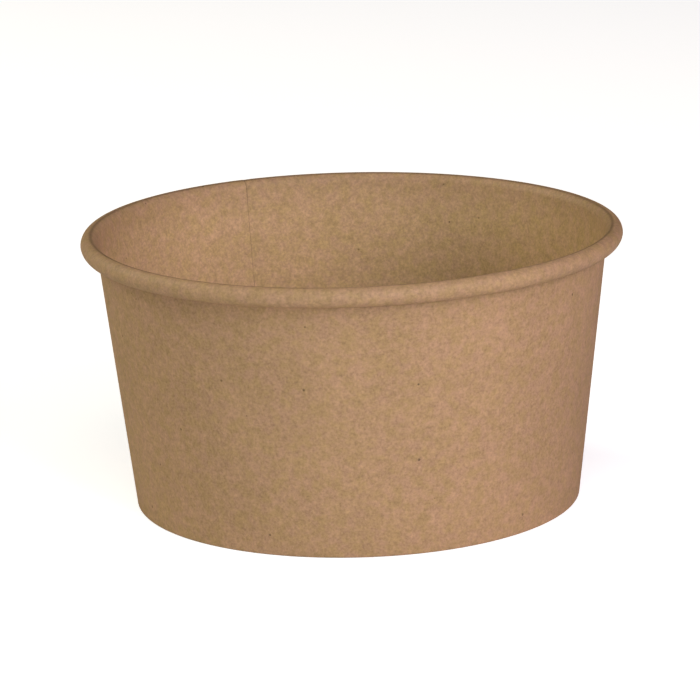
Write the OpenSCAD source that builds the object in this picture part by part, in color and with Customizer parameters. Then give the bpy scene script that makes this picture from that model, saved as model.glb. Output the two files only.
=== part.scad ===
// Round bowl of kraft paper board, for a standard 150 mm lid.
// A flared wall is wrapped from one blank, lapped and sealed at the back, rolled outwards at the top
// and folded under at the foot. A round base with a turned-down skirt is held in that fold.
// The origin is on the table under the bowl's centre, +Z is up and the side seam is at +Y.

/* [Bowl] */
// Outside diameter of the rolled rim
rim_d = 150; // [136:1:180]
// Height from the table to the top of the rim
bowl_h = 77; // [50:1:110]
// Outside diameter of the wall where it meets the table
foot_d = 124; // [90:1:128]
// Thickness of the board
board_t = 0.42; // [0.3:0.02:0.5]

/* [Rolled rim] */
// Width of the roll from its inside to its outside
roll_w = 4.7; // [4:0.1:6]
// Height of the roll
roll_h = 5.4; // [4.4:0.1:7]
// Angle that the edge of the board turns through in the roll
roll_turn = 314; // [270:2:314]

/* [Foot] */
// Height of the underside of the base above the table
base_lift = 8; // [6:0.5:14]
// Height that the folded edge of the wall reaches inside the foot
hem_h = 6; // [3:0.25:7]
// Clearance on each side of the base's skirt, taken up by the sealing film
seal_gap = 0.1; // [0.06:0.02:0.16]
// Inside radius of the two bends of the fold under the foot
fold_in = 0.1; // [0.05:0.05:0.15]
// Inside radius of the bend at the edge of the base
bend_r = 0.6; // [0.3:0.1:1.2]

/* [Side seam] */
// Width of the lap, measured at the foot
lap_w = 8; // [5:0.5:12]
// Length of the step where the board climbs over its own edge
step_l = 1.2; // [0.8:0.1:2]
// How much of the step's height the sealing press takes away
seam_press = 0.1; // [0.06:0.02:0.2]

/* [Hidden] */
$fn = 180;
kraft = [0.69, 0.55, 0.42];
// Angles between the points along a round stretch
roll_step = 7.5;
bend_step = 15;

// The board's middle line follows an ellipse in the roll
roll_a = (roll_w - board_t) / 2;
roll_b = (roll_h - board_t) / 2;
roll_c = [rim_d / 2 - roll_w / 2, bowl_h - roll_h / 2];

// The wall's slant lets its outer face start at the foot and run smoothly into the roll
foot_r = foot_d / 2;
reach = norm([roll_c.x - foot_r, roll_c.y]);
bearing = atan2(roll_c.x - foot_r, roll_c.y);
function support(s) = norm([roll_a * cos(s), roll_b * sin(s)]);
function wall_slant(turns) =
    turns == 0 ? bearing : bearing - asin((support(wall_slant(turns - 1)) - board_t / 2) / reach);
slant = wall_slant(5);
up_wall = [sin(slant), cos(slant)];
into_bowl = [-cos(slant), sin(slant)];
roll_start = 180 - atan2(roll_b * sin(slant), roll_a * cos(slant));

// The fold at the foot goes round the lower edge of the base's skirt with a flat underneath.
// Wall, skirt and hem lie side by side along the slant, one pitch apart.
pitch = board_t + seal_gap;
fold_mid = fold_in + board_t / 2;
foot_line = [foot_r - board_t / 2 / cos(slant), 0];
// A point of the sandwich, from how far it lies in from the wall's middle line and its height
function in_foot(inward, height) =
    foot_line + inward * into_bowl + (height - inward * sin(slant)) / cos(slant) * up_wall;
outer_bend = in_foot(fold_mid, board_t / 2 + fold_mid);
inner_bend = in_foot(2 * pitch - fold_mid, board_t / 2 + fold_mid);
hem_end = in_foot(2 * pitch, hem_h);
skirt_end = in_foot(pitch, board_t + 2 * seal_gap);

// The base's bend joins the skirt to the flat disc
base_mid = base_lift + board_t / 2;
bend_mid = bend_r + board_t / 2;
base_bend = in_foot(pitch + bend_mid, base_mid - bend_mid);

// The lap runs from the fold at the foot to the underside of the roll
lap_angle = lap_w / foot_r * 180 / PI;
lap_from = 2 * (fold_mid + board_t) / cos(slant);
lap_to = (bowl_h - roll_h) / cos(slant);
step_h = board_t - seam_press;
step_from = (base_lift + board_t) / cos(slant);
step_to = (roll_c.y - board_t) / cos(slant);
wall_in_r = foot_r - board_t / cos(slant);

// A place on the board's middle line is its radius, its height and its direction of travel
function place(point, direction) = [point.x, point.y, direction];
function on_arc(c, a, b, q, way) =
    [c.x + a * cos(q), c.y + b * sin(q), atan2(way * b * cos(q), -way * a * sin(q))];
// Whole steps of angle, so that the quarter points are met, with no short step at either end
function stops(from, to, step) =
    let (way = sign(to - from), first = way * (floor(way * from / step + 0.3) + 1) * step)
    concat([from], [for (q = first; way * (to - q) > 0.3 * step; q = q + way * step) q], [to]);
function arc(c, a, b, from, to, step) =
    [for (q = stops(from, to, step)) on_arc(c, a, b, q, sign(to - from))];

// The wall's line, from the top of the hem round the fold, up the wall and over the roll
wall_line = concat(
    [place(hem_end, 270 - slant)],
    arc(inner_bend, fold_mid, fold_mid, 180 - slant, 270, bend_step),
    arc(outer_bend, fold_mid, fold_mid, 270, 360 - slant, bend_step),
    arc(roll_c, roll_a, roll_b, roll_start, roll_start - roll_turn, roll_step)
);

// The base's line, from the lower edge of the skirt over the bend to the middle
base_line = concat(
    [place(skirt_end, 90 - slant)],
    arc(base_bend, bend_mid, bend_mid, -slant, 90, bend_step),
    [place([0, base_mid], 180)]
);

// A layer of board lies between two distances from a line, measured to the left of its travel
function beside(p, d) = [p.x - d * sin(p.z), p.y + d * cos(p.z)];
function layer(line, near, far) = concat(
    [for (p = line) beside(p, far)],
    [for (i = [len(line) - 1:-1:0]) beside(line[i], near)]
);

// The whole turn of the wall, one board thick
module wall_ring() {
    rotate_extrude()
        polygon(layer(wall_line, -board_t / 2, board_t / 2));
}

// The outer end of the blank, sealed over the start of the wall
module lap() {
    lap_line = [for (l = [lap_from, lap_to]) place(foot_line + l * up_wall, 90 - slant)];
    rotate_extrude(angle = lap_angle, start = 90)
        polygon(layer(lap_line, -board_t / 2 - step_h, 0));
}

// A straight bar along the wall at the seam, x sideways and y outwards from the wall's inner face
module along_seam(from, to) {
    translate([0, wall_in_r, 0])
        rotate([-slant, 0, 0])
            translate([0, 0, from])
                linear_extrude(height = to - from)
                    children();
}

// The slope on the outside where the board leaves the wall's circle to climb over its own edge
module outer_step() {
    along_seam(lap_from, lap_to)
        polygon([[-step_l / 8, board_t / 2], [-step_l / 8, board_t + step_h], [0, board_t + step_h],
            [step_l, board_t], [step_l, board_t / 2]]);
}

// The matching hollow on the inside, beside the board's inner edge
module inner_step() {
    along_seam(step_from, step_to)
        polygon([[0, -board_t], [0, step_h], [step_l, 0], [step_l, -board_t]]);
}

module sidewall() {
    color(kraft)
        difference() {
            union() {
                wall_ring();
                lap();
                outer_step();
            }
            inner_step();
        }
}

module base_disc() {
    color(kraft)
        rotate_extrude()
            polygon(layer(base_line, -board_t / 2, board_t / 2));
}

sidewall();
base_disc();
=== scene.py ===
# Looks of a kraft paper salad bowl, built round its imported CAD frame.
# Lengths are in metres and angles in degrees, in the frame's own axes: +Z up, the side seam at +Y.
import math

import bpy
import numpy as np
from mathutils import Matrix, Vector


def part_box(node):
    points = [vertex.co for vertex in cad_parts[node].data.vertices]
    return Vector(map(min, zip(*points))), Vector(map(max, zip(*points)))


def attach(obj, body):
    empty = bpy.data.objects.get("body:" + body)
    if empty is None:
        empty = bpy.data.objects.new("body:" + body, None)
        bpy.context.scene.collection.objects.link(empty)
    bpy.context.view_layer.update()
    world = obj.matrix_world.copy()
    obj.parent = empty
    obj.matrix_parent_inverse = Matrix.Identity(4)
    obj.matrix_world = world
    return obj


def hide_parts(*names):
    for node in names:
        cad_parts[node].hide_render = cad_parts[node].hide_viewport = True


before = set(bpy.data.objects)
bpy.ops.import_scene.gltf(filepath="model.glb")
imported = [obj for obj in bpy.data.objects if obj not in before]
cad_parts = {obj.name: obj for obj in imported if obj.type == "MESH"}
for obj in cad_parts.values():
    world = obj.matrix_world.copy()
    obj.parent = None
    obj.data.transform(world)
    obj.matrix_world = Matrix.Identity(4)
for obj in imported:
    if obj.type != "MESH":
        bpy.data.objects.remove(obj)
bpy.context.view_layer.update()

MM = 0.001

# Board and section, as in the part's source
BOARD = 0.42 * MM
RIM_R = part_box("sidewall")[1][0]
BOWL_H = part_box("sidewall")[1][2]
FOOT_R = 62 * MM
ROLL_W = 4.7 * MM
ROLL_H = 5.4 * MM
ROLL_TURN = 314
HEM_H = 6 * MM
BASE_LIFT = 8 * MM
SEAL_GAP = 0.1 * MM
FOLD_IN = 0.1 * MM
BEND_R = 0.6 * MM

# The roll's outer side runs down straighter than the source's ellipse, whose power is 2, and its lower side
# is tucked in towards the wall. The tuck grows down the outer side by its own power, and from the lowest
# point it fades away, to nothing at this share of the roll's half width
ROLL_SQUARE = 2.6
ROLL_TUCK = 0.75 * MM
TUCK_POWER = 1.3
TUCK_END = 0.78

# Side seam: both ends are pressed thinner, most of all round the roll, where the inner end runs out thin
SEAM_AT = 90
LAP_W = 8 * MM
STEP_L = 3.0 * MM
# The width of the painted shade beside the inner end's edge
SHADE_STRIP_W = 0.45 * MM
SEAM_THIN = 0.86
ROLL_THIN = 0.56
ROLL_EDGE = 0.16
THIN_UNTIL = 4 * MM
SEAL = 0.004 * MM

# The blank's lower outer corner is cut away between these heights, down to a gap beside the inner end.
# Just below the lower one the outer end starts to climb over the inner end
NOTCH_LOW = 1.2 * MM
NOTCH_HIGH = 5.0 * MM
BUTT_GAP = 0.3 * MM
CLIMB_FROM = 0.75 * NOTCH_LOW
CLIMB_OVER = 0.5 * MM

# The hem inside the foot is pressed into fine upright ribs
RIBS = 150
RIB_DEPTH = 0.11 * MM

# A paper bowl is never quite true: how far its rim strays inwards and dips, in waves round the rim, each
# with its count, its share and its phase. Low down, where the base holds it, it is true
STRAY = 0.07 * MM
STRAY_LOBES = ((2, 0.45, 20), (3, 0.3, 130), (5, 0.15, 250), (9, 0.1, 75))
DIP = 0.3 * MM
DIP_LOBES = ((2, 0.82, 307), (3, 0.18, 58))
TRUE_BELOW = 12 * MM

# Steps of the meshes along the board's line; those of the wall crowd towards the foot
HEM_STEPS, FOLD_STEPS, WALL_STEPS, ROLL_STEPS = 4, 4, 16, 40
WALL_CROWD = 1.8
SKIRT_STEPS, BEND_STEPS, DISC_STEPS = 5, 10, 30
# Steps round the bowl, in degrees: close ones from a little before the seam's step to just past the joint,
# wider ones over the lap and one narrow one along its edge
JOINT_COLUMN = 0.09
LAP_COLUMN = 0.6
CLOSE_BEFORE, CLOSE_AFTER, EDGE_BEFORE = 1, 0.2, 0.3
EDGE_W = 0.15 * MM
# The columns lean into the cut corner from this far before the step
LEAN_BEFORE = 2
BASE_COLUMNS = 240
# Edges with more than this angle between their faces stay sharp
SHARP_FROM = 50

# Camera, fitted to the photo's outline of the bowl
VIEW_SIDE = -25.55
VIEW_PITCH = 14.36
VIEW_ROLL = -1.59
VIEW_DISTANCE = 1.1056
VIEW_LENS = 203.97
VIEW_SENSOR = 36
VIEW_CLIP = (0.05, 50)
AIM_RIGHT = -1.31 * MM
AIM_UP = 41.32 * MM

# Kraft board: its two tints, and how much lighter its food side is painted: painted light, standing in for
# the light that falls into the bowl
WARM = (0.408, 0.253, 0.160, 1)
OLIVE = (0.374, 0.245, 0.127, 1)
PAINTED_INSIDE_LIGHT = (1.3, 1.375, 1.335, 1)
# The seam's open outer edge is this much darker raw board, and a narrow strip beside the inner end's edge is
# painted this much darker as painted shade in the step
SEAM_SHADE_AND_EDGE = 0.5
# The crest of the rim is painted darker, as painted shade where it faces up and away from the lights;
# rolling burnishes the whole roll a little smoother
CREST_SHADE = 0.42
CREST_AT = 14
CREST_HALF = 20

# Kraft's noises on a place in millimetres: scale, detail, roughness and, for the last, distortion
CLOUDS = (0.045, 2.0, 0.55)
TINT = (0.3, 4.0, 0.62)
MOTTLE = (0.55, 3.0, 0.7)
GRAIN = (1.4, 3.0, 0.64)
CURL = (0.8, 1.0, 0.4, 1.6)
# The part of each one's values that counts, and how much it lightens and darkens the board
TINT_RANGE, CLOUDS_RANGE, GRAIN_RANGE = (0.38, 0.62), (0.35, 0.65), (0.3, 0.7)
CLOUDS_BY, MOTTLE_BY, GRAIN_BY = 0.035, 0.11, 0.185
# Threads run where the curled noise is close to its middle
THREAD_W, THREAD_BY = 0.035, 0.05
# Specks: the scale of their cells, the random number from which on a cell has one, and a speck's largest
# size, its soft edge and how dark it is
SPECK_CELLS, SPECK_FROM, SPECK_SIZE, SPECK_EDGE, SPECK_BY = 0.18, 0.35, 0.09, 0.03, 0.5
# Finish: roughness of the grain's dark and light sides, how much less it is on the roll, and the shine
ROUGH = (0.74, 0.9)
ROLL_SMOOTHER = 0.2
SHINE = 0.28
# Relief: the mottle's and threads' heights against the grain's, its strength and its depth
MOTTLE_RISE, THREAD_RISE = 1.2, 0.35
RELIEF, RELIEF_DEPTH = 0.35, 0.00009
WALL_SEED, BASE_SEED = 7.0, 31.0

# Soft lights: name, degrees right of the camera, degrees up, distance, size, power and colour
LIGHTS = (
    ("front_low", 0, 8, 1.6, 0.8, 8.0, (1.0, 0.965, 0.87)),
    ("front_high", 0, 55, 1.6, 0.8, 6.1, (0.96, 1.0, 0.81)),
    ("front_right", 35, 25, 1.6, 0.8, 11.7, (0.98, 0.985, 1.0)),
    ("right", 65, 30, 1.6, 0.8, 4.8, (1.0, 0.56, 0.64)),
    ("far_left", -110, 30, 1.6, 0.8, 13.0, (1.0, 0.92, 0.68)),
)
# They aim at this height above the table
LIGHTS_AIM_UP = 0.04

# The table, which lies just under the foot
TABLE_GLOW = (0.6, 0.61, 0.65, 1)
TABLE_WHITE = 0.9
TABLE_ROUGH = 0.9
TABLE_SHINE = 0.1
TABLE_HALF = 4.0
TABLE_DROP = 0.05 * MM


def smooth(value):
    """0 below 0, 1 above 1 and an even slope between."""
    v = np.clip(value, 0.0, 1.0)
    return v * v * (3 - 2 * v)


def round_foot(length):
    """The angle that a length takes round the foot."""
    return math.degrees(length / FOOT_R)


def along_foot(angle):
    """The length that an angle takes round the foot."""
    return angle * math.pi / 180 * FOOT_R


def find_slant():
    """The wall's lean from upright, in radians, that starts at the foot and meets the roll smoothly."""
    a, b = (ROLL_W - BOARD) / 2, (ROLL_H - BOARD) / 2
    across = RIM_R - ROLL_W / 2 - FOOT_R
    up = BOWL_H - ROLL_H / 2
    lean = math.atan2(across, up)
    for _ in range(6):
        support = math.hypot(a * math.cos(lean), b * math.sin(lean))
        lean = math.atan2(across, up) - math.asin((support - BOARD / 2) / math.hypot(across, up))
    return lean


SLANT = find_slant()
UP_WALL = np.array([math.sin(SLANT), math.cos(SLANT)])
INTO_BOWL = np.array([-math.cos(SLANT), math.sin(SLANT)])
FOOT_LINE = np.array([FOOT_R - BOARD / 2 / math.cos(SLANT), 0.0])
PITCH = BOARD + SEAL_GAP
FOLD_MID = FOLD_IN + BOARD / 2
# Once round: where the inner end's edge comes by again, and the step and the lap as angles
TURN = SEAM_AT + 360
STEP = round_foot(STEP_L)
LAP = round_foot(LAP_W)


def in_foot(inward, height):
    """A point of the folded foot, from how far in it lies from the wall's middle line and its height."""
    along = (height - inward * math.sin(SLANT)) / math.cos(SLANT)
    return FOOT_LINE + inward * INTO_BOWL + along * UP_WALL


def arc(centre, a, b, start, end, steps):
    """Places (radius, height, heading) along an ellipse's arc, with the headings in radians."""
    way = 1 if end > start else -1
    places = []
    for q in np.radians(np.linspace(start, end, steps + 1)):
        heading = math.atan2(way * b * math.cos(q), -way * a * math.sin(q))
        places.append((centre[0] + a * math.cos(q), centre[1] + b * math.sin(q), heading))
    return places


def straight(start, end, steps, crowd=1.0):
    """Places between two points, without the points themselves; they crowd towards the start."""
    way = np.subtract(end, start)
    heading = math.atan2(way[1], way[0])
    shares = np.linspace(0, 1, steps + 1)[1:-1] ** crowd
    return [(start[0] + s * way[0], start[1] + s * way[1], heading) for s in shares]


def tuck_in(r, h, centre, a, b):
    """Where a point of the roll's ellipse goes."""
    x, y = (r - centre[0]) / a, (h - centre[1]) / b
    power = 2 / ROLL_SQUARE
    if x > 0 > y:
        r, h = centre[0] + a * x ** power, centre[1] - b * abs(y) ** power
        r -= ROLL_TUCK * abs(y) ** (TUCK_POWER * power)
    elif y < 0:
        r -= ROLL_TUCK * max(0.0, 1 + x / TUCK_END)
    return r, h


def tucked(places, centre, a, b):
    """The same roll tucked in, with the headings that the moved points give."""
    points = np.array([tuck_in(r, h, centre, a, b) for r, h, _ in places])
    headings = np.unwrap([heading for _, _, heading in places])
    way = np.unwrap(np.arctan2(*np.gradient(points, axis=0).T[::-1]))
    way += 2 * math.pi * np.round((headings - way).mean() / (2 * math.pi))
    moved = np.array([h < centre[1] and r > centre[0] - TUCK_END * a for r, h, _ in places])
    headings = np.where(moved, way, headings)
    return [(r, h, heading) for (r, h), heading in zip(points, headings)]


def wall_line():
    """The middle of the wall's board, down the hem, round the fold, up the wall and round the roll, with the
    numbers of the wall's first place and of the fold's."""
    lean = math.degrees(SLANT)
    a, b = (ROLL_W - BOARD) / 2, (ROLL_H - BOARD) / 2
    roll_c = (RIM_R - ROLL_W / 2, BOWL_H - ROLL_H / 2)
    start = 180 - math.degrees(math.atan2(b * math.sin(SLANT), a * math.cos(SLANT)))
    hem_end = in_foot(2 * PITCH, HEM_H)
    fold_up = BOARD / 2 + FOLD_MID
    inner = arc(in_foot(2 * PITCH - FOLD_MID, fold_up), FOLD_MID, FOLD_MID, 180 - lean, 270, FOLD_STEPS)
    outer = arc(in_foot(FOLD_MID, fold_up), FOLD_MID, FOLD_MID, 270, 360 - lean, FOLD_STEPS)
    roll = tucked(arc(roll_c, a, b, start, start - ROLL_TURN, ROLL_STEPS), roll_c, a, b)
    hem = [(hem_end[0], hem_end[1], inner[0][2])] + straight(hem_end, inner[0][:2], HEM_STEPS)
    wall = straight(outer[-1][:2], roll[0][:2], WALL_STEPS, WALL_CROWD)
    folded = len(hem) + len(inner) + len(outer)
    return np.array(hem + inner + outer + wall + roll), folded, len(hem)


def base_line():
    """The middle of the base's board: up the skirt, round the bend and in to the centre."""
    lean = math.degrees(SLANT)
    mid = BEND_R + BOARD / 2
    level = BASE_LIFT + BOARD / 2
    low = in_foot(PITCH, BOARD + 2 * SEAL_GAP)
    bend = arc(in_foot(PITCH + mid, level - mid), mid, mid, -lean, 90, BEND_STEPS)
    skirt = [(low[0], low[1], bend[0][2])] + straight(low, bend[0][:2], SKIRT_STEPS)
    disc = straight(bend[-1][:2], (0.0, level), DISC_STEPS)
    return np.array(skirt + bend + disc)


def wall_columns():
    """Angles round the blank, from its inner edge past a whole turn to its outer edge."""
    rib_quarter = 90 / RIBS
    pieces = [
        np.arange(SEAM_AT, TURN - STEP - CLOSE_BEFORE, rib_quarter),
        np.arange(TURN - STEP - CLOSE_BEFORE, TURN + CLOSE_AFTER, JOINT_COLUMN),
        np.arange(TURN + CLOSE_AFTER, TURN + LAP - EDGE_BEFORE, LAP_COLUMN),
        [TURN + LAP - round_foot(EDGE_W), TURN + LAP],
    ]
    return np.concatenate(pieces)


def notched(columns, z, on_wall):
    """The columns' angles at each station, with the blank's lower outer corner cut away."""
    hinge = TURN - STEP - LEAN_BEFORE
    last = columns[-1]
    butt = TURN - round_foot(BUTT_GAP)
    grown = smooth((z - NOTCH_LOW) / (NOTCH_HIGH - NOTCH_LOW)) * on_wall
    end = butt + (last - butt) * grown
    late = columns[None, :] > hinge
    return np.where(late, hinge + (columns[None, :] - hinge) * (end - hinge) / (last - hinge), columns)


def lapped(angle, z, on_wall, in_roll):
    """How far the board's left and right faces lie to the left of its line. The inner end keeps its inside,
    and the outer end climbs onto its outside."""
    pressed = BOARD * (SEAM_THIN + (ROLL_THIN - SEAM_THIN) * in_roll)
    at_edge = BOARD * (SEAM_THIN + (ROLL_EDGE - SEAM_THIN) * in_roll)
    raised = smooth((z - CLIMB_FROM) / CLIMB_OVER) * on_wall
    climb = smooth((angle - (TURN - STEP)) / STEP) * raised

    def inner_end(beyond):
        """The inner end's thickness at an angle beyond its edge."""
        along = along_foot(beyond)
        thin = at_edge + (pressed - at_edge) * smooth(along / THIN_UNTIL)
        return BOARD - (BOARD - thin) * (1 - smooth((along - LAP_W) / THIN_UNTIL)) * raised

    left = BOARD / 2 - (inner_end(np.maximum(angle - TURN, 0.0)) + SEAL) * climb
    outer_end = BOARD - (BOARD - pressed) * climb
    right = left - np.where(angle < TURN - STEP, inner_end(angle - SEAM_AT), outer_end)
    return left, right


def waves(lobes, turn):
    """A mix of waves round the bowl, from 0 to 2."""
    return sum(share * (1 + np.cos(np.radians(count * turn + phase))) for count, share, phase in lobes)


def out_of_true(turn, height):
    """How far the paper strays inwards and dips: nothing at the foot and most at the rim."""
    grown = smooth((height - TRUE_BELOW) / (BOWL_H - TRUE_BELOW))
    return STRAY / 2 * waves(STRAY_LOBES, turn) * grown, DIP * waves(DIP_LOBES, turn) * grown


def board_face(line, angle, gap):
    """One face of the wall's board as an array [station, column, xyz]."""
    x, z, heading = (line[:, k][:, None] for k in range(3))
    in_by, down_by = out_of_true(angle, z)
    r = x - gap * np.sin(heading) - in_by
    h = z + gap * np.cos(heading) - down_by
    a = np.radians(angle)
    return np.stack([r * np.cos(a), r * np.sin(a), h], axis=2)


def wall_marks(line, angle, in_roll, on_wall, on_edge):
    """What the material has to know of each station and column, from 0 to 1."""
    z, heading = line[:, 1][:, None], line[:, 2][:, None]
    station = np.arange(len(line))[:, None]
    top = np.argmax(line[:, 1])
    # Painted light: the food side is painted lighter, and the painting fades out up the roll
    painted_inside_light = (1 - smooth((z - (BOWL_H - ROLL_H)) / ROLL_H)) * on_wall * (station <= top)
    # The crest is where the board heads nearly level
    lean = (np.degrees(heading) + 180) % 360 - 180
    # Painted shade: the crest is darkened where it faces up and away from the lights
    crest_shade = (1 - smooth(np.abs(lean - CREST_AT) / CREST_HALF)) * on_wall * (z > BOWL_H - ROLL_H)
    # Painted shade: a narrow strip beside the inner end's edge, where the step's shade falls
    shade_beside_edge = smooth(1 - along_foot(TURN - angle) / SHADE_STRIP_W) * (angle <= TURN)
    seam_shade_and_edge = np.maximum(shade_beside_edge, on_edge) * on_wall
    marks = {"painted_inside_light": painted_inside_light, "crest_shade": crest_shade, "roll": in_roll, "seam_shade_and_edge": seam_shade_and_edge}
    return {name: np.broadcast_to(value, angle.shape) for name, value in marks.items()}


def wall_grid():
    """The wall's two faces, the one to the left of its line first, and its marks."""
    line, folded, hem_places = wall_line()
    columns = wall_columns()
    z = line[:, 1][:, None]
    station = np.arange(len(line))[:, None]
    on_wall = station >= folded
    on_hem = (station > 0) & (station < hem_places)
    in_roll = smooth((z - (BOWL_H - ROLL_H)) / (ROLL_H / 2)) * on_wall
    angle = notched(columns, z, on_wall)
    left, right = lapped(angle, z, on_wall, in_roll)
    # Ribs are pressed into the hem, between its upper edge and the fold
    rib = (0.5 - 0.5 * np.cos(np.radians(angle * RIBS))) * on_hem
    faces = [board_face(line, angle, gap) for gap in (left, right + RIB_DEPTH * rib)]
    return faces, wall_marks(line, angle, in_roll, on_wall, columns >= columns[-1])


def mark(piece, name, values):
    """Marks each point of a piece with a number from 0 to 1, for its material."""
    layer = piece.data.attributes.new(name, "FLOAT", "POINT")
    layer.data.foreach_set("value", np.asarray(values, dtype=np.float32).ravel())


def new_piece(name, points, faces):
    """An object with that mesh, smooth apart from its cut edges."""
    mesh = bpy.data.meshes.new(name)
    mesh.from_pydata(points.tolist(), [], faces)
    mesh.validate()
    mesh.update()
    mesh.shade_smooth()
    mesh.set_sharp_from_angle(angle=math.radians(SHARP_FROM))
    piece = bpy.data.objects.new(name, mesh)
    bpy.context.scene.collection.objects.link(piece)
    return piece


def sheet_mesh(name, left, right):
    """A closed mesh between two faces of equal size, with all four edges closed."""
    rows, cols = left.shape[:2]
    count = rows * cols
    points = np.concatenate([left.reshape(-1, 3), right.reshape(-1, 3)])
    index = np.arange(count).reshape(rows, cols)
    quads = []

    def add(a, b, c, d):
        quads.append(np.stack([a, b, c, d], axis=-1).reshape(-1, 4))

    add(index[:-1, :-1], index[1:, :-1], index[1:, 1:], index[:-1, 1:])
    far = index + count
    add(far[:-1, :-1], far[:-1, 1:], far[1:, 1:], far[1:, :-1])
    add(index[0, :-1], index[0, 1:], far[0, 1:], far[0, :-1])
    add(index[-1, :-1], far[-1, :-1], far[-1, 1:], index[-1, 1:])
    add(index[:-1, 0], far[:-1, 0], far[1:, 0], index[1:, 0])
    add(index[:-1, -1], index[1:, -1], far[1:, -1], far[:-1, -1])
    return new_piece(name, points, np.concatenate(quads).tolist())


def base_profile():
    """The base's outline (radius, height): in along its lower face and out again along its upper one."""
    line = base_line()
    profile = []
    for gap, order in ((BOARD / 2, 1), (-BOARD / 2, -1)):
        r = line[:, 0] - gap * np.sin(line[:, 2])
        h = line[:, 1] + gap * np.cos(line[:, 2])
        profile += list(zip(r, h))[::order]
    return profile


def base_faces(total):
    """Faces between the base's rings, all but the innermost two, which close round two centre points."""
    half = total // 2
    rings = np.arange(total * BASE_COLUMNS).reshape(total, BASE_COLUMNS)
    faces = []
    for k in range(total):
        if k != half - 1:
            one, two = rings[k], rings[(k + 1) % total]
            faces += np.stack([one, np.roll(one, -1), np.roll(two, -1), two], 1).tolist()
    centre = total * BASE_COLUMNS
    first, second = rings[half - 1], rings[half]
    faces += [[a, b, centre] for a, b in zip(first.tolist(), np.roll(first, -1).tolist())]
    faces += [[b, a, centre + 1] for a, b in zip(second.tolist(), np.roll(second, -1).tolist())]
    return faces


def base_mesh(name):
    """The base as one closed mesh, turned from its profile."""
    profile = base_profile()
    angles = np.radians(np.arange(BASE_COLUMNS) * 360 / BASE_COLUMNS)
    rings = [np.stack([r * np.cos(angles), r * np.sin(angles), np.full(BASE_COLUMNS, h)], 1)
             for r, h in profile]
    # Known fault: the profile starts with the lower face, so both centres and the food side's painted light
    # are on the wrong face, and the faces look inwards
    centres = np.array([[0, 0, BASE_LIFT + BOARD], [0, 0, BASE_LIFT]])
    piece = new_piece(name, np.concatenate(rings + [centres]), base_faces(len(rings)))
    half = len(rings) // 2 * BASE_COLUMNS
    # Painted light: the first half of the rings is painted lighter, meant as the food side
    mark(piece, "painted_inside_light", [1.0] * half + [0.0] * half + [1.0, 0.0])
    return piece


class Nodes:
    """Short names for making a material's nodes."""

    def __init__(self, tree):
        self.tree = tree

    def add(self, kind, settings=None, **sockets):
        node = self.tree.nodes.new(kind)
        for key, value in (settings or {}).items():
            setattr(node, key, value)
        for key, value in sockets.items():
            self.put(node.inputs[key], value)
        return node

    def put(self, socket, value):
        if isinstance(value, bpy.types.NodeSocket):
            self.tree.links.new(value, socket)
        else:
            socket.default_value = value

    def noise(self, where, scale, detail, roughness, distortion=0.0):
        node = self.add("ShaderNodeTexNoise", Scale=scale, Detail=detail, Roughness=roughness,
                        Distortion=distortion, Vector=where)
        return node.outputs["Fac"]

    def shift(self, where, offset):
        node = self.add("ShaderNodeVectorMath", {"operation": "ADD"})
        self.put(node.inputs[0], where)
        self.put(node.inputs[1], offset)
        return node.outputs["Vector"]

    def math(self, operation, one, two=0.0):
        node = self.add("ShaderNodeMath", {"operation": operation})
        self.put(node.inputs[0], one)
        self.put(node.inputs[1], two)
        return node.outputs["Value"]

    def spread(self, value, low, high, to_low=0.0, to_high=1.0):
        node = self.add("ShaderNodeMapRange")
        for name, number in (("Value", value), ("From Min", low), ("From Max", high),
                             ("To Min", to_low), ("To Max", to_high)):
            self.put(node.inputs[name], number)
        return node.outputs["Result"]

    def mark(self, name):
        return self.add("ShaderNodeAttribute", {"attribute_name": name}).outputs["Fac"]

    def blend(self, share, one, two, way="MIX"):
        node = self.add("ShaderNodeMix", {"data_type": "RGBA", "blend_type": way})
        self.put(node.inputs[0], share)
        self.put(node.inputs[6], one)
        self.put(node.inputs[7], two)
        return node.outputs[2]


def object_millimetres(n):
    """The place on the piece, in millimetres."""
    mapping = n.add("ShaderNodeMapping", Vector=n.add("ShaderNodeTexCoord").outputs["Object"])
    mapping.inputs["Scale"].default_value = (1000, 1000, 1000)
    return mapping.outputs["Vector"]


def kraft_colour(n, where, seed):
    """Two tints that run into each other, painted lighter on the food side as painted light inside the bowl.
    """
    tint = n.noise(n.shift(where, (0, seed, 0)), *TINT)
    colour = n.blend(n.spread(tint, *TINT_RANGE), WARM, OLIVE)
    return n.blend(n.mark("painted_inside_light"), colour, n.blend(1.0, colour, PAINTED_INSIDE_LIGHT, "MULTIPLY"))


def kraft_thread(n, where, seed):
    """Fibres as thin curved threads: 1 along the middle of a thread and 0 beside it."""
    curl = n.noise(n.shift(where, (seed, seed, 0)), *CURL)
    return n.spread(n.math("ABSOLUTE", n.math("SUBTRACT", curl, 0.5)), 0.0, THREAD_W, 1.0, 0.0)


def kraft_speck(n, where, seed):
    """Small dark specks at the centres of some cells, larger where the cell's number is higher."""
    cell = n.add("ShaderNodeTexVoronoi", Scale=SPECK_CELLS, Vector=n.shift(where, (seed, 3, seed)))
    number = n.add("ShaderNodeSeparateColor", Color=cell.outputs["Color"]).outputs[0]
    size = n.math("MULTIPLY", n.spread(number, SPECK_FROM, 1.0), SPECK_SIZE)
    return n.spread(n.math("SUBTRACT", size, cell.outputs["Distance"]), 0.0, SPECK_EDGE)


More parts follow.
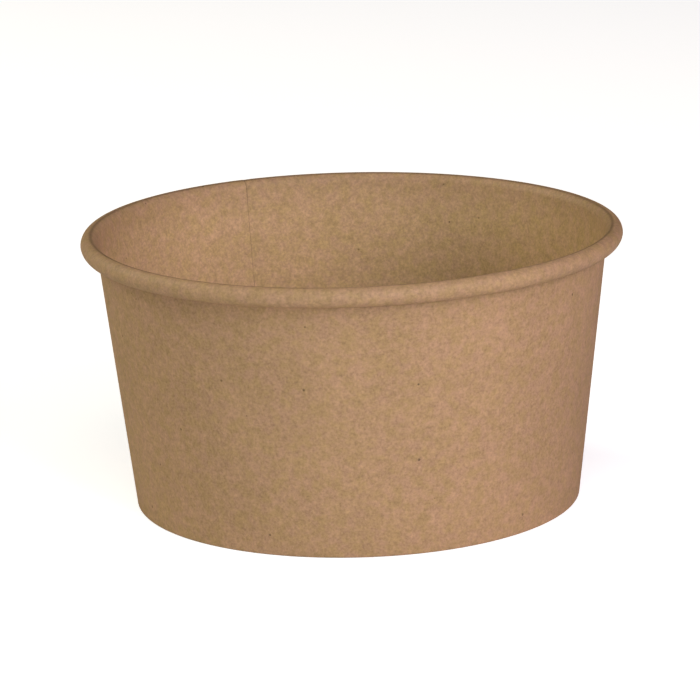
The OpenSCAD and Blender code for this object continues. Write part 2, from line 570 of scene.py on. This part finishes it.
def kraft_light(n, clouds, mottle, grain, thread, speck):
    """How light the board is, about 1, from its noises, the painted shade on its crest and beside the seam's
    inner edge, its darker open edge, threads and specks.
    """
    light = n.math("ADD", n.spread(mottle, *GRAIN_RANGE, -MOTTLE_BY, MOTTLE_BY),
                   n.spread(grain, *GRAIN_RANGE, -GRAIN_BY, GRAIN_BY))
    light = n.math("ADD", light, n.spread(clouds, *CLOUDS_RANGE, -CLOUDS_BY, CLOUDS_BY))
    light = n.math("ADD", light, 1.0)
    # Painted shade on the crest
    light = n.math("MULTIPLY", light, n.spread(n.mark("crest_shade"), 0.0, 1.0, 1.0, 1 - CREST_SHADE))
    # Painted shade beside the seam's inner edge, and the darker open outer edge
    light = n.math("MULTIPLY", light, n.spread(n.mark("seam_shade_and_edge"), 0.0, 1.0, 1.0, 1 - SEAM_SHADE_AND_EDGE))
    light = n.math("SUBTRACT", light, n.math("MULTIPLY", thread, THREAD_BY))
    return n.math("SUBTRACT", light, n.math("MULTIPLY", speck, SPECK_BY))


def kraft_relief(n, mottle, grain, thread):
    """The board's fine relief, as a normal."""
    height = n.math("ADD", grain, n.math("MULTIPLY", mottle, MOTTLE_RISE))
    height = n.math("ADD", height, n.math("MULTIPLY", thread, THREAD_RISE))
    bump = n.add("ShaderNodeBump", Height=height, Strength=RELIEF, Distance=RELIEF_DEPTH)
    return bump.outputs["Normal"]


def kraft(name, seed):
    """Unbleached kraft board: cloudy brown with fine grain, fibres and a few dark specks."""
    material = bpy.data.materials.new(name)
    material.use_nodes = True
    n = Nodes(material.node_tree)
    shader = material.node_tree.nodes["Principled BSDF"]
    where = object_millimetres(n)
    clouds = n.noise(n.shift(where, (seed, 0, 0)), *CLOUDS)
    mottle = n.noise(n.shift(where, (0, 0, seed)), *MOTTLE)
    grain = n.noise(where, *GRAIN)
    thread = kraft_thread(n, where, seed)
    light = kraft_light(n, clouds, mottle, grain, thread, kraft_speck(n, where, seed))
    grey = n.add("ShaderNodeCombineColor", Red=light, Green=light, Blue=light).outputs["Color"]
    n.put(shader.inputs["Base Color"], n.blend(1.0, kraft_colour(n, where, seed), grey, "MULTIPLY"))
    smoother = n.math("MULTIPLY", n.mark("roll"), ROLL_SMOOTHER)
    n.put(shader.inputs["Roughness"], n.math("SUBTRACT", n.spread(grain, *GRAIN_RANGE, *ROUGH), smoother))
    n.put(shader.inputs["Specular IOR Level"], SHINE)
    n.put(shader.inputs["Normal"], kraft_relief(n, mottle, grain, thread))
    return material


def dress(piece, material, node):
    """Gives a piece its material and its body, and hides the node that it stands for."""
    piece.data.materials.clear()
    piece.data.materials.append(material)
    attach(piece, "root")
    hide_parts(node)


def white_table():
    """The table's plain white, which glows a little, as a lit studio table does."""
    material = bpy.data.materials.new("white_table")
    material.use_nodes = True
    shader = material.node_tree.nodes["Principled BSDF"]
    shader.inputs["Base Color"].default_value = (TABLE_WHITE, TABLE_WHITE, TABLE_WHITE, 1)
    shader.inputs["Roughness"].default_value = TABLE_ROUGH
    shader.inputs["Specular IOR Level"].default_value = TABLE_SHINE
    shader.inputs["Emission Color"].default_value = TABLE_GLOW
    shader.inputs["Emission Strength"].default_value = 1.0
    return material


def make_floor():
    """A plain table whose glow is linked to the table alone. The little of it that still reaches the bowl
    changes with the number of lights, so the lights are fitted as a set."""
    half, level = TABLE_HALF, -TABLE_DROP
    corners = [[-half, -half, level], [half, -half, level], [half, half, level], [-half, half, level]]
    floor = new_piece("floor", np.array(corners), [[0, 1, 2, 3]])
    floor.data.materials.append(white_table())
    lit = bpy.data.collections.new("lit_by_table")
    lit.objects.link(floor)
    floor.light_linking.receiver_collection = lit


def view_axes():
    """The camera's right, up and forward before its roll."""
    side, pitch = math.radians(VIEW_SIDE), math.radians(VIEW_PITCH)
    forward = Vector((-math.sin(side) * math.cos(pitch), math.cos(side) * math.cos(pitch), -math.sin(pitch)))
    right = Vector((math.cos(side), math.sin(side), 0))
    return right, right.cross(forward), forward


def make_camera():
    """The camera at the photo's angle, rolled as the photo is."""
    right, up, forward = view_axes()
    aim = right * AIM_RIGHT + Vector((0, 0, AIM_UP))
    place = aim - forward * VIEW_DISTANCE
    roll = math.radians(VIEW_ROLL)
    x = right * math.cos(roll) + up * math.sin(roll)
    y = up * math.cos(roll) - right * math.sin(roll)
    data = bpy.data.cameras.new("camera")
    data.lens = VIEW_LENS
    data.sensor_width = VIEW_SENSOR
    data.clip_start, data.clip_end = VIEW_CLIP
    camera = bpy.data.objects.new("camera", data)
    turn = Matrix((x, y, -forward)).transposed().to_4x4()
    camera.matrix_world = Matrix.Translation(place) @ turn
    bpy.context.scene.collection.objects.link(camera)
    bpy.context.scene.camera = camera


def soft_light(name, side, height, distance, size, power, colour):
    """A square soft light, side degrees to the right of the camera, aimed at the bowl."""
    turn, lift = math.radians(VIEW_SIDE + side), math.radians(height)
    away = Vector((math.sin(turn) * math.cos(lift), -math.cos(turn) * math.cos(lift), math.sin(lift)))
    data = bpy.data.lights.new(name, "AREA")
    data.shape = "SQUARE"
    data.size = size
    data.energy = power
    data.color = colour
    light = bpy.data.objects.new(name, data)
    light.location = away * distance + Vector((0, 0, LIGHTS_AIM_UP))
    light.rotation_euler = away.to_track_quat("Z", "Y").to_euler()
    bpy.context.scene.collection.objects.link(light)


def make_lights():
    """The soft lights, in a dark room, and plain tones."""
    for light in LIGHTS:
        soft_light(*light)
    world = bpy.data.worlds.new("room")
    world.use_nodes = True
    world.node_tree.nodes["Background"].inputs["Strength"].default_value = 0.0
    scene = bpy.context.scene
    scene.world = world
    scene.view_settings.view_transform = "Standard"
    scene.view_settings.look = "None"


def make_bowl():
    """The wall and the base, dressed in kraft."""
    (left, right), marks = wall_grid()
    wall = sheet_mesh("paper_wall", left, right)
    for name, value in marks.items():
        mark(wall, name, [value, value * 0])
    dress(wall, kraft("kraft_wall", WALL_SEED), "sidewall")
    base = base_mesh("paper_base")
    dress(base, kraft("kraft_base", BASE_SEED), "base_disc")


make_bowl()
make_floor()
make_camera()
make_lights()
